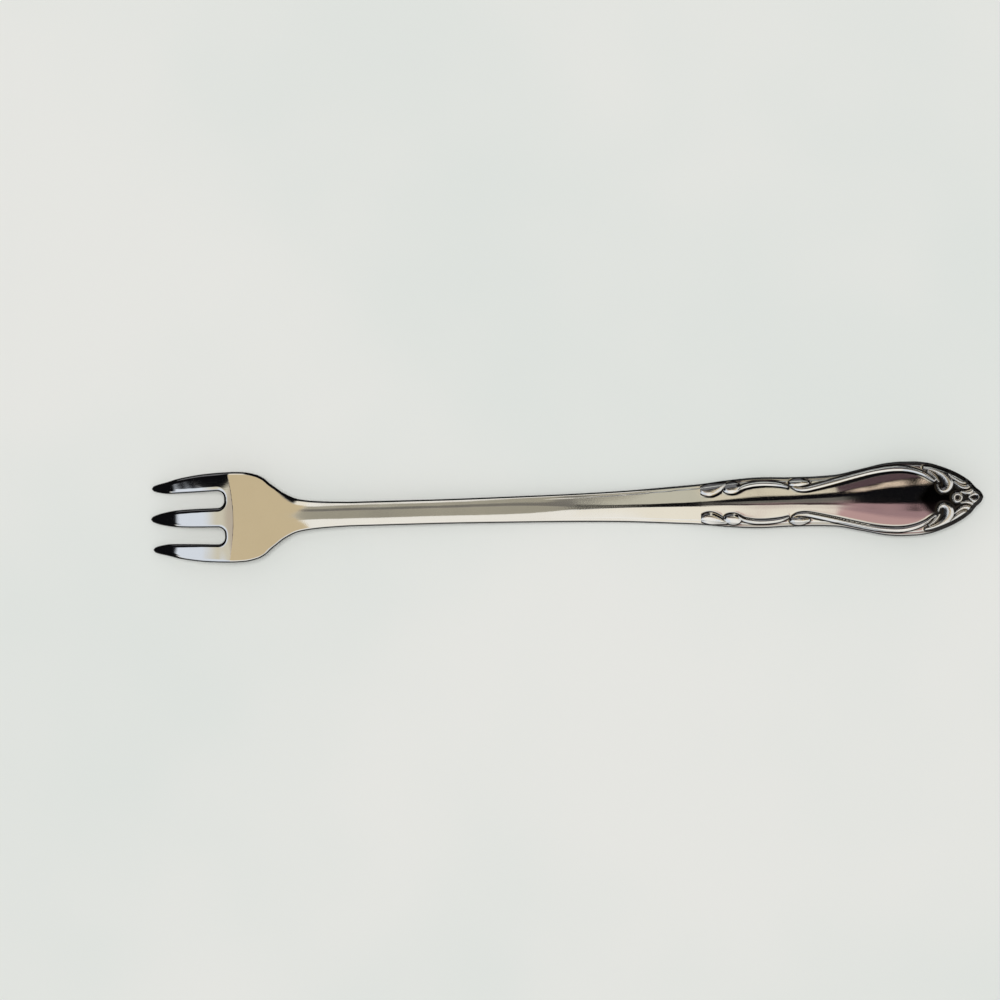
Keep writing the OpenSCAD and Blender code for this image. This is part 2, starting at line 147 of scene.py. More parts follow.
def mix(a, b, share):
    return a + (b - a) * share


class Curve:
    """A smooth curve through knots, each (place, value), that never swings past them."""

    def __init__(self, knots):
        self.x = np.array([k[0] for k in knots], float)
        self.y = np.array([k[1] for k in knots], float)
        slope = np.diff(self.y) / np.diff(self.x)
        before, after = slope[:-1], slope[1:]
        same = before * after > 0
        total = np.where(same, before + after, 1.0)
        inner = np.where(same, 2 * before * after / total, 0.0)
        self.m = np.concatenate([slope[:1], inner, slope[-1:]])

    def __call__(self, x):
        x = np.asarray(x, float)
        i = np.clip(np.searchsorted(self.x, x, side="right") - 1, 0, len(self.x) - 2)
        d = self.x[i + 1] - self.x[i]
        t = np.clip((x - self.x[i]) / d, 0, 1)
        ease = t * t * (3 - 2 * t)
        bend = (1 - t) * self.m[i] - t * self.m[i + 1]
        return mix(self.y[i], self.y[i + 1], ease) + d * t * (1 - t) * bend


def knots(x, length, start, end, shares):
    """Knots at shares of a length, with their values at shares of the way from start to end."""
    return [(x + length * s, mix(start, end, v)) for s, v in shares]


# Plan of the blank: half its width from the root to the end
HALF_WIDTH = Curve(
    [(ROOT_X, HEAD_HALF), (CREST_X, HEAD_HALF + ROOT_SWELL)]
    + knots(ROOT_X, ROOT_LENGTH, NECK_WIDTH / 2, HEAD_HALF,
            [(0.33, 1), (0.49, 0.905), (0.59, 0.76), (0.66, 0.58), (0.73, 0.43), (0.83, 0.22)])
    + knots(NECK_X, NECK_LENGTH, STEM_WIDTH / 2, NECK_WIDTH / 2,
            [(0, 1), (0.24, 0.5), (0.5, 0.24), (0.75, 0.1)])
    + knots(STEM_X, STEM_LENGTH, STEM_WIDTH / 2, STEM_END_WIDTH / 2,
            [(0, 0), (0.23, 0), (0.46, 0.1), (0.61, 0.2), (0.77, 0.4), (0.92, 0.77)])
    + knots(HANDLE_X, HANDLE_LENGTH, STEM_END_WIDTH / 2, HANDLE_WIDTH / 2,
            [(0, 0), (0.3, 0.58), (0.6, 0.96), (0.72, 1)])
    + knots(SHIELD_X, SHIELD_LENGTH, SHIELD_NECK_WIDTH / 2, SHIELD_WIDTH / 2,
            [(0, 0), (0.1, 0), (0.236, 0.09), (0.375, 0.5), (0.514, 0.93), (0.583, 1)])
    + knots(SHIELD_X, SHIELD_LENGTH, 0, SHIELD_WIDTH / 2,
            [(0.653, 0.995), (0.722, 0.95), (0.79, 0.842), (0.861, 0.683), (0.93, 0.45),
             (0.965, 0.25), (0.983, 0.17), (0.993, 0.105), (1, 0.03)])
)

# Side view: height of the middle of the underside, and thickness along the middle
UNDERSIDE = Curve(
    knots(0, ROOT_X, 0, ROOT_HEIGHT,
          [(0, 0), (0.2, 0.29), (0.4, 0.53), (0.6, 0.715), (0.8, 0.85), (1, 0.94)])
    + knots(CREST_X, CREASE_LENGTH, 0, ROOT_HEIGHT, [(-0.5, 1.0014), (0, 1.004), (0.5, 0.9995)])
    + knots(ROOT_X, ROOT_LENGTH, 0, ROOT_HEIGHT, [(0.6, 0.832)])
    + knots(NECK_X, NECK_LENGTH, 0, ROOT_HEIGHT, [(0, 0.674), (1, 0.49)])
    + knots(STEM_X, STEM_LENGTH, 0, ROOT_HEIGHT,
            [(0.12, 0.38), (0.35, 0.206), (0.5, 0.112), (0.62, 0.053)])
    + knots(LAND_X, LAND_LENGTH, 0, -LAND_DEPTH, [(0, 0.25), (0.5, 1), (1, 0.25)])
    + knots(HANDLE_X, HANDLE_LENGTH, 0, END_HEIGHT, [(0, 0.0163)])
    + knots(SHIELD_X, SHIELD_LENGTH, 0, END_HEIGHT,
            [(0, 0.148), (0.3, 0.239), (0.53, 0.369), (0.72, 0.553), (0.8, 0.647), (0.9, 0.805), (1, 1)])
)
THICKNESS = Curve([
    (0, POINT_THICKNESS),
    (ROOT_X, TINE_THICKNESS),
    (CREST_X, ROOT_THICKNESS),
    (STEM_X, NECK_THICKNESS),
    (mix(STEM_X, HANDLE_X, 0.2), STEM_THICKNESS),
    (HANDLE_X, STEM_THICKNESS),
    (mix(HANDLE_X, SHIELD_X, 0.5), HANDLE_THICKNESS),
    (mix(SHIELD_X, FORK_LENGTH, 0.45), SHIELD_THICKNESS),
    (mix(SHIELD_X, FORK_LENGTH, 0.8), mix(END_THICKNESS, SHIELD_THICKNESS, 0.65)),
    (FORK_LENGTH, END_THICKNESS),
])

# Cross section: how far the edges lie below the middle, how round the crown is as a share of the half
# width, and how much of it the underside has
CROWN = Curve([
    (0, 0),
    (ROOT_X, ROOT_CROWN),
    (mix(ROOT_X, NECK_X, 0.5), ROOT_CROWN),
    (STEM_X, STEM_CROWN),
    (mix(STEM_X, HANDLE_X, 0.6), STEM_CROWN),
    (HANDLE_X, HANDLE_CROWN),
    (SHIELD_X, HANDLE_CROWN),
    (mix(SHIELD_X, FORK_LENGTH, 0.5), SHIELD_CROWN),
    (FORK_LENGTH, STEM_CROWN),
])
ROUNDNESS = Curve([
    (0, 1.5), (NECK_X, 1.5), (mix(STEM_X, HANDLE_X, 0.35), 1.2), (mix(STEM_X, HANDLE_X, 0.65), 0.08),
    (HANDLE_X, 0.14), (SHIELD_X, 0.25), (mix(SHIELD_X, FORK_LENGTH, 0.25), 0.6),
    (mix(SHIELD_X, FORK_LENGTH, 0.5), 1.3), (FORK_LENGTH, 1.3),
])
UNDERSIDE_CROWN = Curve([
    (0, -0.6), (ROOT_X, -0.6), (STEM_X, 0), (LAND_X, 0), (LAND_X + LAND_LENGTH, 0), (HANDLE_X, 0.85),
    (SHIELD_X, 1), (FORK_LENGTH, 1),
])
LEDGE = Curve([
    (0, 0), (mix(STEM_X, HANDLE_X, 0.5), 0), (HANDLE_X, LEDGE_DEPTH),
    (mix(SHIELD_X, FORK_LENGTH, 0.9), LEDGE_DEPTH), (FORK_LENGTH, 0),
])

# The ledge's step is this wide, and the ledge takes at most this share of the half width
LEDGE_STEP = 0.14
LEDGE_LIMIT = 0.4

# Width and depth of the rounding on the long edges, which is broad on the tines and tight on the stem
EDGE_WIDTH = Curve([
    (0, 0.8), (ROOT_X, 0.8), (CREST_X, 0.55), (STEM_X, 0.42), (HANDLE_X, 0.4), (FORK_LENGTH, 0.5),
])
EDGE_DEPTH = Curve([(0, 0.42), (ROOT_X, 0.42), (CREST_X, 0.3), (STEM_X, 0.26), (FORK_LENGTH, 0.3)])

# Shares of the way along a tine, with the share of its half width at the root. An outer tine gathers
# inwards by a share of POINT_GATHER, and the first POINT_SHARE of a tine is its round point
MIDDLE_TINE = Curve([(0, 0.1), (0.03, 0.28), (0.2, 0.65), (0.4, 0.87), (0.6, 0.95), (0.8, 0.98), (1, 1)])
OUTER_TINE = Curve([(0, 0.1), (0.03, 0.28), (0.2, 0.59), (0.4, 0.8), (0.6, 0.91), (0.8, 0.98), (1, 1)])
GATHER = Curve([(0, 1), (0.2, 0.94), (0.4, 0.62), (0.6, 0.35), (0.8, 0.14), (1, 0)])
POINT_SHARE = 0.035


def half_width(x):
    """Half the width of the blank, with a round nose over the last of its length."""
    left = np.clip(FORK_LENGTH - x, 0, NOSE_RADIUS)
    nose = np.sqrt(np.clip(2 * NOSE_RADIUS * left - left * left, 0, None))
    blank = HALF_WIDTH(x)
    return np.where(FORK_LENGTH - x < NOSE_SHARE * NOSE_RADIUS, np.minimum(nose, blank), blank)


def tine_edges(s, side):
    """X, the middle and half the width of a tine at a share s of the way from its point to the root."""
    x = mix(abs(side) * POINT_SETBACK, ROOT_X, s)
    y = side * (OUTER_TINE_Y - POINT_GATHER * GATHER(s))
    half = OUTER_TINE(s) * OUTER_TINE_WIDTH / 2 if side else MIDDLE_TINE(s) * MIDDLE_TINE_WIDTH / 2
    t = np.clip(s / POINT_SHARE, 0, 1)
    return x, y, half * np.sqrt(t * (2 - t))


def fall(x, y):
    """How far a face has fallen at y, from 0 in the middle to 1 at the edge."""
    q = ROUNDNESS(x)
    u = y / np.maximum(half_width(np.maximum(x, ROOT_X)), LEAST_CROWN_HALF)
    return (np.sqrt(u * u + q * q) - q) / (np.sqrt(1 + q * q) - q)


def smooth_step(x):
    t = np.clip(x, 0, 1)
    return t * t * (3 - 2 * t)


def ledge_drop(x, y):
    """Depth of the ledge that runs along the edge."""
    half = half_width(np.maximum(x, ROOT_X))
    width = np.minimum(LEDGE_WIDTH, LEDGE_LIMIT * half)
    return LEDGE(x) * smooth_step((width - half + np.abs(y)) / LEDGE_STEP + 0.5)


# The strokes of the ornament on one side of the spine, as shares of a region's length, of its half
# width and of the stroke's width
FIRST_LEAF = [(0.015, 0.56, 0.45), (0.06, 0.54, 0.85), (0.12, 0.56, 1), (0.2, 0.63, 0.7),
              (0.29, 0.76, 0.12)]
SECOND_LEAF = [(0.28, 0.6, 0.15), (0.31, 0.59, 0.75), (0.36, 0.61, 0.95), (0.4, 0.62, 0.8),
               (0.44, 0.64, 0.25)]
HANDLE_THREAD = [(0.43, 0.52, 0.55), (0.48, 0.63, 0.7), (0.54, 0.69, 0.8), (0.61, 0.73, 0.8),
                 (0.7, 0.745, 0.8), (0.79, 0.735, 0.8), (0.9, 0.69, 0.7), (0.985, 0.6, 0.3)]
THIRD_LEAF = [(0.015, 0.5, 0.4), (0.035, 0.51, 0.65), (0.065, 0.52, 0.6), (0.1, 0.5, 0.2)]
SHIELD_THREAD = [(0.02, 0.4, 0.3), (0.045, 0.345, 0.6), (0.085, 0.335, 0.8), (0.14, 0.39, 0.9),
                 (0.236, 0.51, 1), (0.32, 0.62, 1), (0.43, 0.75, 1), (0.52, 0.81, 1), (0.59, 0.81, 0.95),
                 (0.65, 0.75, 0.85), (0.7, 0.645, 0.7), (0.733, 0.53, 0.6), (0.752, 0.47, 0.5),
                 (0.757, 0.53, 0.45), (0.75, 0.61, 0.3)]
OUTER_SCROLL = [(0.703, 0.82, 0.35), (0.75, 0.765, 0.7), (0.788, 0.675, 1.05), (0.814, 0.55, 1.4),
                (0.824, 0.41, 1.5), (0.818, 0.28, 1.2), (0.8, 0.205, 0.85), (0.782, 0.215, 0.65),
                (0.77, 0.29, 0.45), (0.768, 0.36, 0.3)]
INNER_SCROLL = [(0.72, 0.72, 0.3), (0.742, 0.64, 0.5), (0.76, 0.54, 0.55), (0.772, 0.45, 0.45)]
OUTER_SPRAY = [(0.828, 0.64, 0.35), (0.86, 0.51, 0.7), (0.89, 0.42, 0.75), (0.909, 0.4, 0.6),
               (0.916, 0.44, 0.35)]
INNER_SPRAY = [(0.852, 0.42, 0.35), (0.872, 0.34, 0.6), (0.894, 0.28, 0.7), (0.916, 0.27, 0.75),
               (0.932, 0.31, 0.55)]
LOBE = [(0.885, 0.15, 0.35), (0.91, 0.125, 0.6), (0.932, 0.14, 0.7), (0.944, 0.19, 0.55)]
TIP_LEAF = [(0.925, 0.01, 0.3), (0.943, 0.075, 0.5), (0.96, 0.1, 0.6), (0.973, 0.06, 0.6),
            (0.977, 0, 0.6)]
RING_X = SHIELD_X + 0.867 * SHIELD_LENGTH
RING_POINTS = 41

# How a stroke stands: its lean, the least share of its rise where it is thin, how much its foot spreads,
# how softly it meets the ground, and the groove along its foot. Then the steps of a route from each place
# to the next, and how many points of a grid are worked on at once
STROKE_LEAN = 0.5
THIN_SHARE = 0.3
FOOT_SPREAD = 1.15
FOOT_SOFTNESS = 1.5
GROOVE_WIDTH = 0.13
GROOVE_DEPTH = 0.05
GROOVE_REACH = 4 * GROOVE_WIDTH
ROUTE_STEPS = 10
STROKE_BATCH = 4000


def bend(a, b, c, d, t):
    """A point on a smooth curve from b to c."""
    return b + t * ((c - a) + t * ((2 * a - 5 * b + 4 * c - d) + t * (3 * b - a - 3 * c + d))) / 2


def smooth_route(shares, x, length, half, width):
    """The line of a stroke through its places, each point with its X, its Y and the stroke's width."""
    places = [np.array((x + s * length, v * half, w * width)) for s, v, w in shares]
    last = len(places) - 1
    route = []
    for i in range(last):
        before, after = places[max(0, i - 1)], places[min(last, i + 2)]
        for k in range(ROUTE_STEPS):
            route.append(bend(before, places[i], places[i + 1], after, k / ROUTE_STEPS))
    return np.array(route + [places[-1]])


class Stroke:
    """A raised stroke of the ornament along its route, with the groove that follows its foot.

    Its lean is how much higher it stands towards the spine than towards the edge. It has no effect
    outside the box from low to high."""

    def __init__(self, route, width, rise, lean=0.0):
        self.route = route
        self.width = width
        self.rise = rise
        self.lean = lean
        self.low = route[:, :2].min(axis=0) - (width + GROOVE_REACH)
        self.high = route[:, :2].max(axis=0) + (width + GROOVE_REACH)

    def at(self, x, y):
        """Height of the stroke and depth of its groove at points inside its box."""
        a, b = self.route[:-1], self.route[1:]
        d = b[:, :2] - a[:, :2]
        px = x[:, None] - a[None, :, 0]
        py = y[:, None] - a[None, :, 1]
        t = np.clip((px * d[:, 0] + py * d[:, 1]) / (d ** 2).sum(axis=1), 0, 1)
        out_y = py - t * d[:, 1]
        distance = np.hypot(px - t * d[:, 0], out_y)
        half = FOOT_SPREAD * mix(a[:, 2], b[:, 2], t) / 2
        k = np.argmin(distance - half, axis=1)
        row = np.arange(len(x))
        distance, half, out_y = distance[row, k], half[row, k], out_y[row, k]
        u = np.clip(distance / half, 0, 1)
        lean = 1 - self.lean * np.clip(out_y / half, -1, 1)
        rise = self.rise * np.minimum(1, THIN_SHARE + 2 * half / self.width)
        out = np.clip((distance - half) / GROOVE_WIDTH, 0, None)
        height = rise * lean * (1 - u ** 2) ** FOOT_SOFTNESS
        return height, GROOVE_DEPTH * out ** 2 * np.exp(2 - 2 * out)


def on_handle(shares, width, rise, lean=0.0):
    route = smooth_route(shares, HANDLE_X, HANDLE_LENGTH, HANDLE_WIDTH / 2, width)
    return Stroke(route, width, rise, lean)


def on_shield(shares, width, rise, lean=0.0):
    route = smooth_route(shares, SHIELD_X, SHIELD_LENGTH, SHIELD_WIDTH / 2, width)
    return Stroke(route, width, rise, lean)


def ring_stroke():
    """The ring between the scrolls."""
    turn = [(RING_X + RING_RADIUS * math.cos(a), RING_RADIUS * math.sin(a), RING_WIRE)
            for a in np.linspace(0, 2 * math.pi, RING_POINTS)]
    return Stroke(np.array(turn), RING_WIRE, SCROLL_HEIGHT)


STROKES = [
    on_handle(FIRST_LEAF, LEAF_WIDTH, LEAF_HEIGHT, STROKE_LEAN),
    on_handle(SECOND_LEAF, LEAF_WIDTH, LEAF_HEIGHT, STROKE_LEAN),
    on_handle(HANDLE_THREAD, THREAD_WIDTH, THREAD_HEIGHT),
    on_shield(THIRD_LEAF, LEAF_WIDTH, LEAF_HEIGHT, STROKE_LEAN),
    on_shield(SHIELD_THREAD, THREAD_WIDTH, THREAD_HEIGHT),
    on_shield(OUTER_SCROLL, SCROLL_WIDTH, SCROLL_HEIGHT, STROKE_LEAN),
    on_shield(INNER_SCROLL, SCROLL_WIDTH, SCROLL_HEIGHT, STROKE_LEAN),
    on_shield(OUTER_SPRAY, SCROLL_WIDTH, SCROLL_HEIGHT, STROKE_LEAN),
    on_shield(INNER_SPRAY, SCROLL_WIDTH, SCROLL_HEIGHT, STROKE_LEAN),
    on_shield(LOBE, SCROLL_WIDTH, SCROLL_HEIGHT),
    on_shield(TIP_LEAF, SCROLL_WIDTH, TIP_HEIGHT),
    ring_stroke(),
]


def relief(x, y):
    """Height of the ornament above the ground, below zero in its grooves."""
    shape = np.shape(x)
    x, y = np.ravel(x), np.abs(np.ravel(y))
    rise, groove = np.zeros(len(x)), np.zeros(len(x))
    for stroke in STROKES:
        near = np.nonzero((x > stroke.low[0]) & (x < stroke.high[0])
                          & (y > stroke.low[1]) & (y < stroke.high[1]))[0]
        for part in np.array_split(near, max(1, len(near) // STROKE_BATCH)):
            if len(part):
                up, down = stroke.at(x[part], y[part])
                rise[part] = np.maximum(rise[part], up)
                groove[part] = np.maximum(groove[part], down)
    return np.where(rise > 0, rise, -groove).reshape(shape)


# The ground between the scrolls is dark with tarnish, behind a line that starts on the spine and slants
# towards the end, and as far out as the ledge. It is gone where a stroke stands higher than GROUND_CLEAR
# of a scroll
GROUND_X = SHIELD_X + 0.62 * SHIELD_LENGTH
GROUND_SLANT = 0.8
GROUND_FADE = 3.5
GROUND_CLEAR = 0.3
GROUND_EDGE = 0.8
GROUND_EDGE_FADE = 0.3

# The ledge of the handle and the shield darkens towards the end. The rounded rim is painted dark all
# round, a painted shade for the dark reflections and the shadow along the edges, to RIM_WIDTH and
# RIM_OVERRUN of it more, and the walls between the two rims are bright
LEDGE_TARNISH = Curve([
    (HANDLE_X, 0.05),
    (HANDLE_X + 4, 0.35),
    (mix(SHIELD_X, FORK_LENGTH, 0.65), 0.35),
    (mix(SHIELD_X, FORK_LENGTH, 0.8), 0.9),
    (FORK_LENGTH, 0.9),
])
RIM_WIDTH = 0.26
RIM_OVERRUN = 0.4
WALL_DARKENING = 0.1

# Wear grows with the height of the ornament, up to WEAR_HEIGHT of a scroll, and from LEAST_WEAR in front
# of WEAR_X to all of it towards the end
WEAR_X = SHIELD_X + 0.68 * SHIELD_LENGTH
WEAR_FADE = 2.0
WEAR_HEIGHT = 0.4
LEAST_WEAR = 0.4


def tarnish_and_rim_shade(x, y, rim, carved):
    """How dark the metal is painted, from 0 on bright metal to 1: tarnish in the grooves and on the
    ground, and painted shade along the rim.
    """
    # Painted shade: the rounded rim is darkened all round, for the dark reflections and the shadow along
    # the edges
    edge = smooth_step((RIM_WIDTH - rim) / RIM_WIDTH + RIM_OVERRUN)
    if not carved:
        return edge
    edge = np.maximum(edge, LEDGE_TARNISH(x) * smooth_step((LEDGE_WIDTH - rim) / LEDGE_STEP + 0.5))
    form = relief(x, y)
    groove = np.clip(-form / GROOVE_DEPTH, 0, 1)
    inside = smooth_step((rim - GROUND_EDGE) / GROUND_EDGE_FADE)
    ground = smooth_step((x - GROUND_X - GROUND_SLANT * np.abs(y)) / GROUND_FADE) * inside
    ground = ground * (1 - smooth_step(form / (GROUND_CLEAR * SCROLL_HEIGHT)))
    return np.maximum(np.maximum(groove, ground), edge)


def wear(x, y, carved):
    """How dull the high places of the ornament are worn, from 0 to 1."""
    if not carved:
        return np.zeros(np.shape(x))
    high = smooth_step(relief(x, y) / (WEAR_HEIGHT * SCROLL_HEIGHT))
    return high * mix(LEAST_WEAR, 1, smooth_step((x - WEAR_X) / WEAR_FADE))


# Behind the head the curves are polished smooth over this reach, with these weights on either side
POLISH_REACH = 3.0
POLISH_START = 1.0
POLISH_RISE = 4.0
POLISH_WEIGHTS = [(0.0, 0.25), (0.35, 0.2), (0.7, 0.125), (1.0, 0.05)]


def polished(curve, x):
    """A curve's value with its small changes of slope evened out."""
    reach = POLISH_REACH * smooth_step((x - CREST_X - POLISH_START) / POLISH_RISE)
    return sum(weight * (curve(x - reach * share) + curve(x + reach * share)) / (2 if share == 0 else 1)
               for share, weight in POLISH_WEIGHTS)


def side_place(x, y):
    """The place in the side view: an outer tine counts from its own point, and the crease bows."""
    outer = (np.abs(y) > SLOT_Y) & (x < ROOT_X)
    place = np.where(outer, (x - POINT_SETBACK) * ROOT_X / (ROOT_X - POINT_SETBACK), x)
    bow = smooth_step((x - ROOT_X) / (CREST_X - ROOT_X)) * smooth_step((NECK_X - x) / (NECK_X - CREST_X))
    return place + CREASE_BOW * y * y * bow


def back(x, y):
    """Height of the back."""
    place = side_place(x, y)
    top = polished(UNDERSIDE, place) + polished(THICKNESS, place)
    return top - polished(CROWN, place) * fall(place, y) - ledge_drop(x, y)


def front(x, y):
    """Height of the front, which lies underneath."""
    place = side_place(x, y)
    shared = UNDERSIDE_CROWN(place)
    crown = polished(CROWN, place) * shared * fall(place, y)
    return polished(UNDERSIDE, place) + crown + np.maximum(0, shared) * ledge_drop(x, y)


# Points of the outline along a side of a tine, round half a slot's end, along the rest and round the
# nose, and the least step between two of them in mm
OUTLINE_TINE = 500
OUTLINE_TINE_CROWDING = 1.6
OUTLINE_CORNER = 30
OUTLINE_BODY = 5000
OUTLINE_NOSE = 200
OUTLINE_LEAST_STEP = 1e-4


def outline_points():
    """The plan of the whole blank as one closed line, anticlockwise, with its outward normals."""
    s = np.linspace(0, 1, OUTLINE_TINE) ** OUTLINE_TINE_CROWDING
    upper = []
    x, y, half = tine_edges(s, 0)
    upper.append(np.stack([x, y + half], 1))
    corner = np.linspace(0, math.pi / 2, OUTLINE_CORNER)
    straight = SLOT_WIDTH / 2 - SLOT_CORNER
    corner_x = ROOT_X + SLOT_RUN + SLOT_CORNER * np.sin(corner)
    near = np.stack([corner_x, SLOT_Y - straight - SLOT_CORNER * np.cos(corner)], 1)
    upper.append(near)
    upper.append(np.stack([near[::-1, 0], 2 * SLOT_Y - near[::-1, 1]], 1))
    x, y, half = tine_edges(s, 1)
    upper.append(np.stack([x, y - half], 1)[::-1])
    upper.append(np.stack([x, y + half], 1)[1:])
    body = np.linspace(ROOT_X, FORK_LENGTH - NOSE_RADIUS, OUTLINE_BODY)
    nose = FORK_LENGTH - NOSE_RADIUS * (1 - np.sin(np.linspace(0, math.pi / 2, OUTLINE_NOSE)))
    x = np.concatenate([body[1:], nose[1:]])
    upper.append(np.stack([x, half_width(x)], 1))
    upper = np.concatenate(upper)
    lower = upper[::-1] * (1, -1)
    line = np.concatenate([upper, lower[1:-1]])
    keep = np.hypot(*(line - np.roll(line, 1, axis=0)).T) > OUTLINE_LEAST_STEP
    line = line[keep]
    tangent = np.roll(line, -1, axis=0) - np.roll(line, 1, axis=0)
    tangent /= np.hypot(tangent[:, 0], tangent[:, 1])[:, None]
    normal = np.stack([-tangent[:, 1], tangent[:, 0]], 1)
    return line, normal


OUTLINE, OUTLINE_NORMAL = outline_points()
OUTLINE_TREE = KDTree(len(OUTLINE))
for index, point in enumerate(OUTLINE):
    OUTLINE_TREE.insert((point[0], point[1], 0), index)
OUTLINE_TREE.balance()

# Farther in than this a distance from the edge is of no use
EDGE_REACH = 1.2


def edge_distance(x, y):
    """Distance of each place from the edge of the blank, and the way out to it."""
    flat_x, flat_y = np.ravel(x), np.ravel(y)
    distance = np.full(len(flat_x), EDGE_REACH)
    out = np.zeros((len(flat_x), 2))
    for i, (px, py) in enumerate(zip(flat_x, flat_y)):
        index = OUTLINE_TREE.find((px, py, 0))[1]
        normal = OUTLINE_NORMAL[index]
        distance[i] = (OUTLINE[index, 0] - px) * normal[0] + (OUTLINE[index, 1] - py) * normal[1]
        out[i] = normal
    distance = np.clip(distance, 0, EDGE_REACH)
    return distance.reshape(np.shape(x)), out.reshape(np.shape(x) + (2,))


# Half the step over which a slope is measured: wider where the fine ornament meets the grid
STEP = 0.01
CARVED_STEP = 0.04

# The least upward part of a normal, at the very edge
LEAST_UPRIGHT = 1e-4


def face(x, y, reach, carved, surface, sign):
    """Heights and normals of the back (sign 1) or the front (sign -1) over a grid of places."""

    def height(dx, dy):
        h = surface(x + dx, y + dy)
        return h + sign * relief(x + dx, y + dy) if carved else h

    step = CARVED_STEP if carved else STEP
    gradient_x = (height(step, 0) - height(-step, 0)) / (2 * step)
    gradient_y = (height(0, step) - height(0, -step)) / (2 * step)
    z = height(0, 0)
    distance, out = reach
    wide = np.minimum(EDGE_WIDTH(x), EDGE_WIDTH_LIMIT * local_half(x, y))
    deep = np.minimum(EDGE_DEPTH(x), EDGE_DEPTH_LIMIT * THICKNESS(x))
    t = np.clip((wide - distance) / wide, 0, 1)
    c = np.sqrt(1 - t * t)
    z = z - sign * deep * (1 - c)
    slope = (deep / wide * t)[..., None] * out
    normal_x = -sign * gradient_x * c + slope[..., 0]
    normal_y = -sign * gradient_y * c + slope[..., 1]
    normal = np.stack([normal_x, normal_y, np.maximum(c, LEAST_UPRIGHT)], -1)
    normal /= np.linalg.norm(normal, axis=-1)[..., None]
    normal[..., 2] *= sign
    # The front is ground flat where it would reach below the table
    ground = z < 0
    normal[ground] = (0, 0, sign)
    return np.where(ground, 0, z), normal


def local_half(x, y):
    """Half the width of the metal at a place: of the tine there, or of the blank."""
    s = np.clip(side_place(x, y) / ROOT_X, 0, 1)
    tine = np.where(np.abs(y) < SLOT_Y, tine_edges(s, 0)[2], tine_edges(s, 1)[2])
    blank = half_width(np.maximum(x, ROOT_X))
    return np.maximum(np.where(x < ROOT_X, tine, blank), LEAST_EDGE_HALF)


def edge_spaced(count, crowd):
    """Shares from -1 to 1 that crowd towards both ends."""
    t = np.linspace(-1, 1, count)
    return np.sign(t) * (1 - (1 - np.abs(t)) ** crowd)


def border_edges(quads, count):
    """The sides of quads that no other quad shares, each from one point to the next."""
    sides = np.stack([quads, np.roll(quads, -1, axis=1)], -1).reshape(-1, 2)
    sides = sides[sides[:, 0] != sides[:, 1]]
    code = sides[:, 0] * (count + 1) + sides[:, 1]
    twin = sides[:, 1] * (count + 1) + sides[:, 0]
    return sides[~np.isin(code, twin)]


def paint_corners(mesh, walls, label, values):
    """Store values of the points at the corners of the faces, faint on the walls, which come last."""
    corners = np.empty(len(mesh.loops), np.int32)
    mesh.loops.foreach_get("vertex_index", corners)
    values = np.concatenate([values, values])[corners]
    # The walls keep only a faint share of the rim's painted shade and of the tarnish
    values[len(corners) - 4 * walls:] *= WALL_DARKENING
    attribute = mesh.attributes.new(label, "FLOAT", "CORNER")
    attribute.data.foreach_set("value", values.astype(np.float32))


# Points of two blocks are welded on a grid with this many steps to a millimetre
WELD_GRID = 1e4


class Plate:
    """A closed mesh over blocks of places: a back, a front and the walls round them."""

    def __init__(self, name, carved=False):
        self.name = name
        self.carved = carved
        self.blocks = []

    def add(self, x, y):
        self.blocks.append((x, y))

    def build(self):
        back_points, back_normals, front_points, front_normals, quads = [], [], [], [], []
        patina, worn = [], []
        base = 0
        for x, y in self.blocks:
            reach = edge_distance(x, y)
            for points, normals, surface, sign in (
                    (back_points, back_normals, back, 1),
                    (front_points, front_normals, front, -1)):
                z, normal = face(x, y, reach, self.carved, surface, sign)
                points.append(np.stack([x - FORK_LENGTH / 2, y, z], -1).reshape(-1, 3))
                normals.append(normal.reshape(-1, 3))
            # Tarnish in the hollows together with the painted shade along the rim, stored at the corners
            patina.append(tarnish_and_rim_shade(x, y, reach[0], self.carved).ravel())
            worn.append(wear(x, y, self.carved).ravel())
            rows, columns = x.shape
            i, j = np.meshgrid(np.arange(rows - 1), np.arange(columns - 1), indexing="ij")
            a = base + i * columns + j
            quads.append(np.stack([a, a + columns, a + columns + 1, a + 1], -1).reshape(-1, 4))
            base += rows * columns
        back_points = np.concatenate(back_points)
        front_points = np.concatenate(front_points)
        quads = np.concatenate(quads)
        patina = np.concatenate(patina)
        worn = np.concatenate(worn)
        back_normals = np.concatenate(back_normals)
        front_normals = np.concatenate(front_normals)
        # Blocks that share an edge are welded by their places in plan
        keys = np.round(back_points[:, :2] * WELD_GRID).astype(np.int64)
        _, first, inverse = np.unique(keys, axis=0, return_index=True, return_inverse=True)
        quads = inverse.reshape(-1)[quads]
        back_points, front_points = back_points[first], front_points[first]
        back_normals, front_normals = back_normals[first], front_normals[first]
        shift = len(first)
        border = border_edges(quads, shift)
        faces = [tuple(dict.fromkeys(q)) for q in quads.tolist()]
        faces += [tuple(dict.fromkeys(q)) for q in (quads[:, ::-1] + shift).tolist()]
        faces += [(b, a, a + shift, b + shift) for a, b in border.tolist()]
        faces = [f for f in faces if len(f) > 2]
        mesh = bpy.data.meshes.new(self.name)
        points = np.concatenate([back_points, front_points]) * MM
        mesh.from_pydata(points.tolist(), [], faces)
        mesh.update()
        paint_corners(mesh, len(border), "patina", patina[first])
        paint_corners(mesh, len(border), "wear", worn[first])
        mesh.polygons.foreach_set("use_smooth", [True] * len(mesh.polygons))
        normals = np.concatenate([back_normals, front_normals])
        mesh.normals_split_custom_set_from_vertices(normals.tolist())
        piece = bpy.data.objects.new(self.name, mesh)
        bpy.context.scene.collection.objects.link(piece)
        return piece


